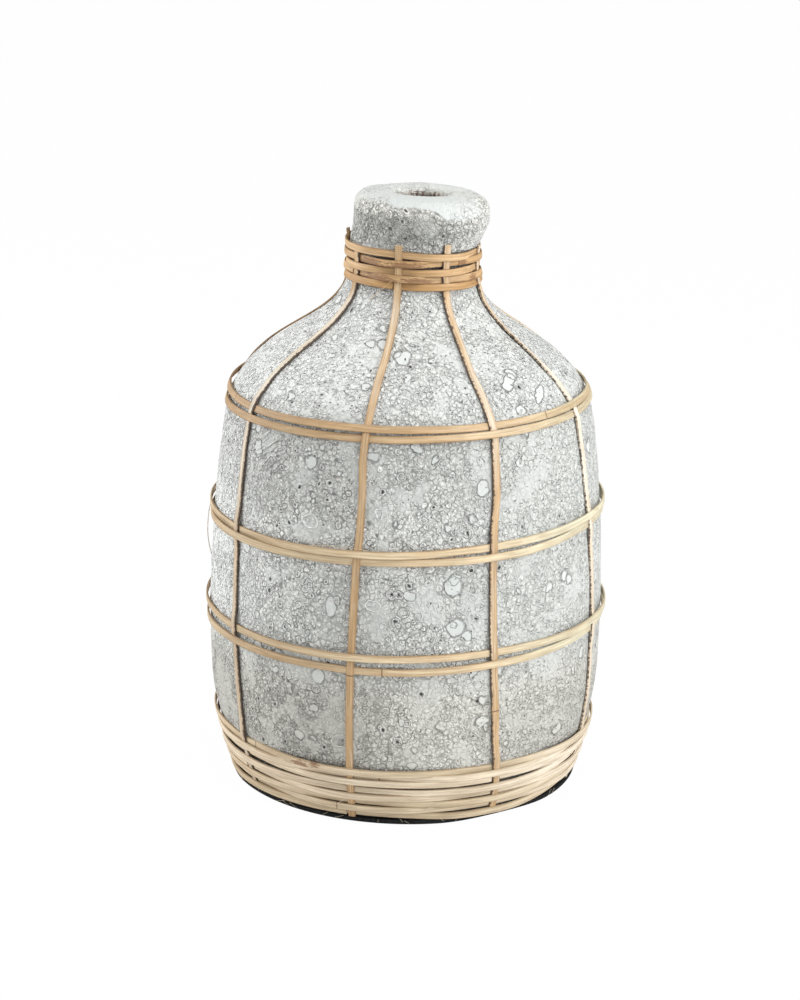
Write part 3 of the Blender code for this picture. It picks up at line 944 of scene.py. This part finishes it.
def cane(name, pale, tan, dark, left, right):
    """Split cane: long fibres, fine pores, eased edges painted darker as shade, ringed joints, and stains.

    The last two colours multiply it on the vase's left side, as painted shade, and on its right side, as
    painted light.
    """
    material, tree, paint = plain_material(name, 0.5, 0.4)
    grain = tree.node("ShaderNodeAttribute", {"attribute_name": "grain"}, [], "Vector")
    across, tone, joint, stain, shadow_side = (
        tree.node("ShaderNodeAttribute", {"attribute_name": name}, [], "Fac")
        for name in ("across", "tone", "joint", "stain", "shadow_side")
    )
    x = tree.parts(tree.on_object())[0]

    def streaks(stretch, detail=2.0, rough=0.5):
        return tree.noise(tree.scaled(grain, stretch), 1.0, detail, rough)

    fibre = streaks((26, 1900, 600), 4.0, 0.6)
    weathered = streaks((75, 420, 200), 3.0)
    broad = streaks((14, 260, 90), 3.0)
    pore = tree.step(streaks((170, 5200, 900)), 0.66, 0.74)
    color = tree.mix(tree.step(tone + (broad - 0.5) * 1.6, 0.0, 1.0), pale, tan)
    color = tree.mix(tree.step(fibre, 0.48, 0.70) * 0.45, color, dark)
    color = tree.mix(tree.step(weathered, 0.50, 0.75) * 0.45, color, tan)
    color = tree.mix(tree.step(weathered, 0.48, 0.25) * 0.30, color, [min(1, part * 1.15) for part in pale])
    color = tree.mix(tree.step(fibre, 0.45, 0.25) * 0.4, color, [min(1, part * 1.12) for part in pale])
    color = tree.mix(pore * 0.3, color, dark)
    # Painted shade on the eased edges, lighter on the vase's right where the light falls.
    edge = tree.step(abs(across), 0.68, 0.98)
    color = tree.mix(edge * (0.60 - tree.step(x, 0.035, 0.070) * 0.40), color, dark)
    # A ragged painted shadow along one edge, where the rib stands off the glaze.
    ragged = streaks((620, 300, 300))
    painted_gap_shadow = tree.step(across * shadow_side + (ragged - 0.5) * 1.2, 0.50, 0.70)
    color = tree.mix(painted_gap_shadow * 0.9, color, (0.07, 0.045, 0.03))
    ring = tree.step(abs(joint), 0.00055, 0.0)
    blush = tree.step(abs(joint), 0.0045, 0.0006)
    color = tree.mix(blush * 0.35, color, tan)
    color = tree.mix(ring * 0.85, color, (0.10, 0.05, 0.025))
    spots = streaks((480, 1500, 600)) - 0.5
    coarse = streaks((90, 700, 300)) - 0.5
    blotch = tree.step(stain + coarse * 0.6 + spots * 1.5, 0.46, 0.68)
    color = tree.mix(blotch * 0.75, color, (0.23, 0.11, 0.05))
    strand = tree.step(streaks((60, 1300, 600)), 0.30, 0.70)
    color = tree.vector("MULTIPLY", color, tree.mix(strand, (0.86, 0.85, 0.83), (1.12, 1.13, 1.14)))
    # Painted shade on the vase's left side and painted light on its right side.
    color = tree.vector("MULTIPLY", color, tree.mix(tree.step(x, -0.015, -0.070), (1, 1, 1), left))
    color = tree.vector("MULTIPLY", color, tree.mix(tree.step(x, 0.030, 0.085), (1, 1, 1), right))
    height = fibre * 0.10 + broad * 0.10 - pore * 0.05 - ring * 0.15
    paint(color, 0.42 + fibre * 0.25, height)
    return material


def felt():
    """Near-black felt: short fibres that catch a little light."""
    material, tree, paint = plain_material("felt", 1.0, 0.08)
    place = tree.on_object()
    fibre = tree.noise(tree.warp(place, 900, 0.0008), 1500, 3.0, 0.7)
    color = tree.mix(tree.step(fibre, 0.4, 0.75), (0.010, 0.011, 0.011), (0.045, 0.046, 0.047))
    paint(color, None, fibre * 0.25)
    return material


GLAZE = glaze()
FELT = felt()
# Each cane's colours: pale, tan and dark, and what multiplies them on the left, as painted shade, and on the
# right, as painted light.
CANE_COLORS = {
    "rib_cane": (
        (0.76, 0.67, 0.54), (0.53, 0.35, 0.18), (0.26, 0.15, 0.07), (0.82, 0.83, 0.84), (1.02, 1.05, 1.10),
    ),
    "neck_cane": (
        (0.66, 0.46, 0.26), (0.46, 0.27, 0.11), (0.18, 0.09, 0.04), (0.95, 0.93, 0.90), (1.03, 1.07, 1.15),
    ),
    "hoop_cane": (
        (0.74, 0.61, 0.41), (0.54, 0.36, 0.19), (0.26, 0.15, 0.07), (0.74, 0.71, 0.67), (0.88, 1.00, 1.10),
    ),
    "base_cane": (
        (0.73, 0.62, 0.47), (0.55, 0.44, 0.29), (0.28, 0.19, 0.10), (1.0, 0.98, 0.97), (1.08, 1.12, 1.20),
    ),
}
CANES = {slot: cane(f"{slot}_split", *colors) for slot, colors in CANE_COLORS.items()}


def settle(piece, node, material):
    """Dresses a finished piece, which stands for its CAD node and rides on the vase."""
    piece.data.materials.clear()
    piece.data.materials.append(material)
    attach(piece, "root")
    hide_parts(node)


# The body


def evenly(line, spacing):
    """Points along a line at an even spacing of about the one given."""
    runs = run_along(line)
    marks = np.linspace(0, runs[-1], max(2, round(runs[-1] / spacing)) + 1)
    return np.stack([np.interp(marks, runs, line[:, axis]) for axis in (0, 1)], axis=1)


def body_outline():
    """The whole outline: up the inside, over the lip, and down the outside at three finenesses."""
    line = smooth_line(OUTLINE)
    heights = line[:, 1]
    peak = heights.argmax()
    mouth = np.nonzero((np.arange(len(line)) < peak) & (heights > FINE_BORE))[0][0]
    shoulder = np.nonzero((np.arange(len(line)) > peak) & (heights < SHOULDER_TOP))[0][0]
    spans = [
        (line[: mouth + 1], INSIDE_ROW),
        (line[mouth : shoulder + 1], NECK_ROW),
        (line[shoulder:], BODY_ROW),
    ]
    points = [np.array([[0.0, line[0][1]]])] + [evenly(*span)[:-1] for span in spans]
    return np.concatenate(points + [line[-1:], np.array([[0.0, line[-1][1]]])])


def glazed_body():
    outline = body_outline()
    mesh = bpy.data.meshes.new("glazed_body")
    edges = [(index, index + 1) for index in range(len(outline) - 1)]
    mesh.from_pydata([(radius, 0, height) for radius, height in outline], edges, [])
    piece = add_object("glazed_body", mesh)
    select_alone(piece)
    bpy.ops.object.mode_set(mode="EDIT")
    bpy.ops.mesh.select_all(action="SELECT")
    bpy.ops.mesh.spin(steps=COLUMNS, angle=math.tau, center=(0, 0, 0), axis=(0, 0, 1))
    bpy.ops.mesh.select_all(action="SELECT")
    bpy.ops.mesh.remove_doubles(threshold=MERGE)
    bpy.ops.mesh.normals_make_consistent(inside=False)
    select(piece, "faces", on_belly)
    bpy.ops.mesh.subdivide(number_cuts=1, smoothness=0)
    select(piece, "verts", lambda vertex: vertex.co.z > LIP_START)
    pull((LIP_LEAN, 0, 0), LEAN_REACH)
    bpy.ops.object.mode_set(mode="OBJECT")
    bpy.ops.object.shade_smooth()
    push_out(piece)
    return piece


def on_belly(face):
    centre = face.calc_center_median()
    outward = face.normal.x * centre.x + face.normal.y * centre.y
    return outward > 0 and centre.z < SHOULDER_TOP - MM and abs(face.normal.z) < 0.95


def push_out(piece):
    """Gives the turned body the unevenness of its glaze, along its normals."""
    group = bpy.data.node_groups.new("uneven_glaze", "GeometryNodeTree")
    group.interface.new_socket("Geometry", in_out="INPUT", socket_type="NodeSocketGeometry")
    group.interface.new_socket("Geometry", in_out="OUTPUT", socket_type="NodeSocketGeometry")
    tree = Tree(group)
    shape = tree.node("NodeGroupInput")
    place = tree.node("GeometryNodeInputPosition")
    normal = tree.node("GeometryNodeInputNormal")
    x, y, z = tree.parts(place)
    flat = tree.scaled(place, (1, 1, 0))
    outward = tree.dot(flat, normal)
    upward = tree.parts(normal)[2]
    glazed = tree.step(outward * 12 + upward.at_least(0.0), 0.0, 0.5)
    sink = tree.step(z, 0.3040, 0.3110) * 0.55
    corner = tree.step(z, 0.300, 0.305) * tree.step(upward, 0.10, 0.45) * tree.step(upward, 0.98, 0.80)
    push = (relief(tree, place) - sink) * MM * glazed
    offset = tree.node("ShaderNodeVectorMath", {"operation": "SCALE"}, {0: normal, "Scale": push})
    fall = tree.step(z, 0.288, 0.306) * (x - 0.002).at_least(0.0) * -0.032
    lift = corner * tree.step(x, -0.006, -0.026) * 1.5 * MM
    apart = tree.length(tree.scaled(tree.vector("SUBTRACT", place, (LIP_LEAN, 0, 0)), (1, 1, 0)))
    near = tree.step(z, 0.280, 0.300) * tree.step(apart, 0.0265, 0.0185)
    slimmer = near * (x - LIP_LEAN) * (MOUTH_WIDTH - 1)
    narrower = near * (y * (MOUTH_DEPTH - 1) + MOUTH_BACK)
    shift = tree.node("ShaderNodeCombineXYZ", {}, [slimmer, narrower, fall + lift])
    offset = tree.vector("ADD", offset, shift)
    moved = tree.node("GeometryNodeSetPosition", {}, {"Geometry": shape, "Offset": offset})
    tree.node("NodeGroupOutput", {}, [moved], [])
    modifier = piece.modifiers.new("uneven_glaze", "NODES")
    modifier.node_group = group
    apply(piece, modifier)
    bpy.data.node_groups.remove(group)


# The pad


# Where the pad's edge is drawn in: azimuth in degrees, how far, and how wide the dent is.
PAD_DENTS = ((33, 2.3 * MM, 34 * MM), (-88, 1.7 * MM, 42 * MM))


def felt_pad():
    low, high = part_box("base_pad")
    radius, thick = high.x + PAD_SPREAD, high.z - low.z
    bpy.ops.object.select_all(action="DESELECT")
    bpy.ops.mesh.primitive_cylinder_add(
        vertices=180, radius=radius, depth=thick, end_fill_type="NGON", enter_editmode=True
    )
    piece = bpy.context.object
    piece.name = piece.data.name = "felt_pad"
    bpy.ops.transform.translate(value=(0, 0, low.z + thick / 2))
    select(piece, "faces", lambda face: abs(face.normal.z) > 0.9)
    bpy.ops.mesh.inset(thickness=1.2 * MM)
    bpy.ops.mesh.inset(thickness=20 * MM)

    def on_rim(edge):
        level = len({round(vertex.co.z, 5) for vertex in edge.verts}) == 1
        return level and all(abs(vertex.co.xy.length - radius) < 0.3 * MM for vertex in edge.verts)

    select(piece, "edges", on_rim)
    bpy.ops.mesh.bevel(offset=0.5 * MM, segments=3, affect="EDGES")
    for azimuth, depth, reach in PAD_DENTS:
        turn = math.radians(azimuth)
        edge = Vector((radius * math.sin(turn), -radius * math.cos(turn)))
        select(piece, "verts", lambda v: (v.co.xy - edge).length < 3 * MM)
        pull((-depth * math.sin(turn), depth * math.cos(turn), 0), reach)
    finish_mesh(60)
    return piece


def plain_looks(seed, tone=0.4, joints=(), stains=(), short=0.0, shadow_side=0.0):
    """What sets one cane apart: draw, tan, joints, stains, cut, and on which edge a ragged painted shadow of
    the gap beneath it lies.

    The tan is one number, or pairs of place and number along the cane.
    """
    tones = list(tone) if isinstance(tone, tuple) else [(0, tone)]
    marks = {"joints": list(joints), "stains": list(stains), "tones": tones}
    return {"seed": seed, "short": short, "shadow_side": shadow_side} | marks


settle(glazed_body(), "vase_body", GLAZE)
settle(felt_pad(), "base_pad", FELT)

# Loose hairs, by the cane that they split from: azimuth in degrees, height and distance off the glaze in mm.
FIBRES = {
    "rib_1": [[(-93, 149, 0.8), (-92, 140, 3.0), (-91.5, 130, 3.5), (-92, 119, 3.0), (-93, 110, 0.6)]],
    "neck_row_5": [[(-35, 259.5, 1.6), (-24, 265.6, 3.6), (-16.0, 271.0, 3.9)]],
    "neck_row_2": [[(46, 277.5, 3.4), (54, 274.5, 3.8), (61, 270.5, 3.5)]],
    "middle_hoop_upper": [[(-27, 149, 3.4), (-19, 151, 4.0), (-11, 150, 3.4)]],
    "base_row_6": [
        [(7, 10, 3.2), (10, 14, 4.2), (14, 15.5, 3.6)],
        [(-22, 8, 3.2), (-19, 12, 4.4), (-17, 15, 3.6)],
    ],
}

# Dark blotches on rib 1's upper part, carried as stains: painted shade on the rib seen edge-on at the far
# left.
RIB_1_PAINTED_SHADE = [(0.2885, 0.0022, 0), (0.262, 0.012, 0), (0.243, 0.010, 0.2), (0.226, 0.009, 0)]
RIB_LOOKS = {
    1: plain_looks(1, 0.80, stains=RIB_1_PAINTED_SHADE),
    2: plain_looks(
        2,
        ((0.06, 0.55), (0.15, 0.50), (0.215, 0.1), (0.258, 0.0), (0.266, 0.8)),
        short=4 * MM,
        shadow_side=-0.92,
    ),
    3: plain_looks(
        3,
        ((0.05, 1.0), (0.20, 0.95), (0.225, 0.60), (0.258, 0.75), (0.266, 1.1)),
        joints=[0.0841],
    ),
    4: plain_looks(
        4,
        ((0.05, 1.0), (0.11, 0.80), (0.18, 0.72), (0.215, 0.45), (0.258, 0.50), (0.266, 0.9)),
        joints=[0.0635],
        stains=[(0.0738, 0.0012, 0.3)],
        shadow_side=0.8,
    ),
    5: plain_looks(5, ((0.06, 0.30), (0.19, 0.25), (0.22, -0.2), (0.266, 0.5)), short=4 * MM, shadow_side=0.6),
    6: plain_looks(6, -0.1),
    7: plain_looks(7, 0.60),
    8: plain_looks(8, 0.30),
}
for number, looks in RIB_LOOKS.items():
    piece = rib(number, SHADOWED_RIB_WIDTH if looks["shadow_side"] else RIB_WIDTH, looks)
    for marks in FIBRES.get(f"rib_{number}", []):
        fibre(piece, marks, RIB_HAIR)
    settle(piece, f"rib_{number}", CANES["rib_cane"])

NECK_LOOKS = {
    1: plain_looks(11, 0.35),
    2: plain_looks(12, 0.70, joints=[43], stains=[(-40, 0.013, -0.5), (-5, 0.013, -0.5), (48, 0.004, -0.4)]),
    3: plain_looks(13, 0.45),
    4: plain_looks(14, 0.55, stains=[(-30, 0.014, -0.7), (4, 0.010, -0.7), (60, 0.004, -0.4)]),
    5: plain_looks(15, 0.95, stains=[(-58, 0.007, 0.2)]),
}
HOOP_LOOKS = {
    "shoulder_hoop_upper": plain_looks(
        21, ((-70, 1.0), (0, 0.75), (60, 0.7)), joints=[-72, 47], stains=[(-92, 0.005, 0.0)]
    ),
    "shoulder_hoop_lower": plain_looks(22, ((-70, 0.95), (0, 0.75), (60, 0.5))),
    "middle_hoop_upper": plain_looks(23, 0.18),
    "middle_hoop_lower": plain_looks(24, 0.30, joints=[118]),
    "lower_hoop_upper": plain_looks(25, 0.30, joints=[-150]),
    "lower_hoop_lower": plain_looks(26, 0.42, joints=[-6]),
}
BASE_LOOKS = {
    1: plain_looks(41, 0.75, joints=[-49], stains=[(-31, 0.0060, -0.6), (-26, 0.0030, 0.6)]),
    2: plain_looks(42, 0.30, joints=[-6.5]),
    3: plain_looks(43, 0.20),
    4: plain_looks(44, 0.15, joints=[66]),
    5: plain_looks(45, 0.35),
    6: plain_looks(46, 0.65),
    7: plain_looks(47, 0.55, joints=[-20]),
    8: plain_looks(48, 0.80),
}


def weave(node, slot, width, looks, wander, cant):
    piece = weaver(node, width, looks, wander, math.radians(cant))
    for marks in FIBRES.get(node, []):
        fibre(piece, marks, WEAVER_HAIR)
    if node == "base_row_8":
        frayed(piece, random.Random(8))
    settle(piece, node, CANES[slot])


for row, looks in NECK_LOOKS.items():
    weave(f"neck_row_{row}", "neck_cane", 3.75 * MM, looks, 0.20 * MM, 5)
for node, looks in HOOP_LOOKS.items():
    weave(node, "hoop_cane", 3.85 * MM, looks, 0.25 * MM, 0)
for row, looks in BASE_LOOKS.items():
    weave(f"base_row_{row}", "base_cane", 3.85 * MM, looks, 0.30 * MM, 8)


# The room


def white_floor():
    """A pale floor that stays white to the camera but keeps the vase's shadow."""
    bpy.ops.object.select_all(action="DESELECT")
    bpy.ops.mesh.primitive_plane_add(size=12)
    floor = bpy.context.object
    floor.name = "floor"
    material = bpy.data.materials.new("white_floor")
    material.use_nodes = True
    tree = Tree(material.node_tree)
    shader = material.node_tree.nodes["Principled BSDF"]
    shader.inputs["Base Color"].default_value = (0.82, 0.82, 0.82, 1)
    shader.inputs["Roughness"].default_value = 0.9
    seen = tree.node("ShaderNodeLightPath", {}, [], "Is Camera Ray")
    white = tree.node("ShaderNodeEmission", {}, {"Color": (1, 1, 1, 1), "Strength": 1.0})
    both = tree.node("ShaderNodeMixShader", {}, [seen * 0.985, Value(tree, shader.outputs[0]), white])
    output = material.node_tree.nodes["Material Output"]
    material.node_tree.links.new(both.socket, output.inputs["Surface"])
    floor.data.materials.append(material)


def white_world():
    world = bpy.data.worlds.new("white_room")
    bpy.context.scene.world = world
    world.use_nodes = True
    tree = Tree(world.node_tree)
    rays = tree.node("ShaderNodeLightPath", {}, [], ["Is Camera Ray", "Is Glossy Ray", "Is Transmission Ray"])
    seen = rays[0].at_least(rays[2])
    background = world.node_tree.nodes["Background"]
    world.node_tree.links.new((seen * 0.58 + 0.42).socket, background.inputs["Strength"])
    background.inputs["Color"].default_value = (1, 1, 1, 1)


def soft_lamp(name, place, size, watts):
    """A square lamp that faces the middle of the vase."""
    lamp = bpy.data.lights.new(name, "AREA")
    lamp.shape = "SQUARE"
    lamp.size = size
    lamp.energy = watts
    thing = add_object(name, lamp)
    thing.location = place
    aim = Vector((0, 0, 0.15)) - Vector(place)
    thing.rotation_euler = aim.to_track_quat("-Z", "Y").to_euler()


def photograph_camera():
    """The camera that the photograph was taken with, fitted to the hoops and the outline."""
    focus, distance = 2639.0, 1.400
    elevation, roll = math.radians(16.89), math.radians(1.25)
    middle_x, middle_y = 407.7, 499.7
    wide, tall, sensor = 800, 1000, 36
    camera_data = bpy.data.cameras.new("camera")
    camera = add_object("camera", camera_data)
    target = Vector((0, 0, 0.14555))
    camera.location = target + distance * Vector((0, -math.cos(elevation), math.sin(elevation)))
    turn = Matrix.Rotation(math.pi / 2 - elevation, 4, "X") @ Matrix.Rotation(roll, 4, "Z")
    camera.rotation_euler = turn.to_euler()
    camera_data.sensor_fit = "VERTICAL"
    camera_data.sensor_height = sensor
    camera_data.lens = focus / tall * sensor
    camera_data.shift_x = (wide / 2 - middle_x) / tall
    camera_data.shift_y = (middle_y - tall / 2) / tall
    bpy.context.scene.camera = camera


white_floor()
white_world()
soft_lamp("right_window", (1.5, -0.8, 0.9), 1.4, 30)
soft_lamp("left_window", (-1.47, 0.29, 0.7), 1.2, 22)
soft_lamp("top_light", (0.2, -0.3, 1.9), 1.2, 14.5)
photograph_camera()
bpy.context.scene.view_settings.view_transform = "Standard"
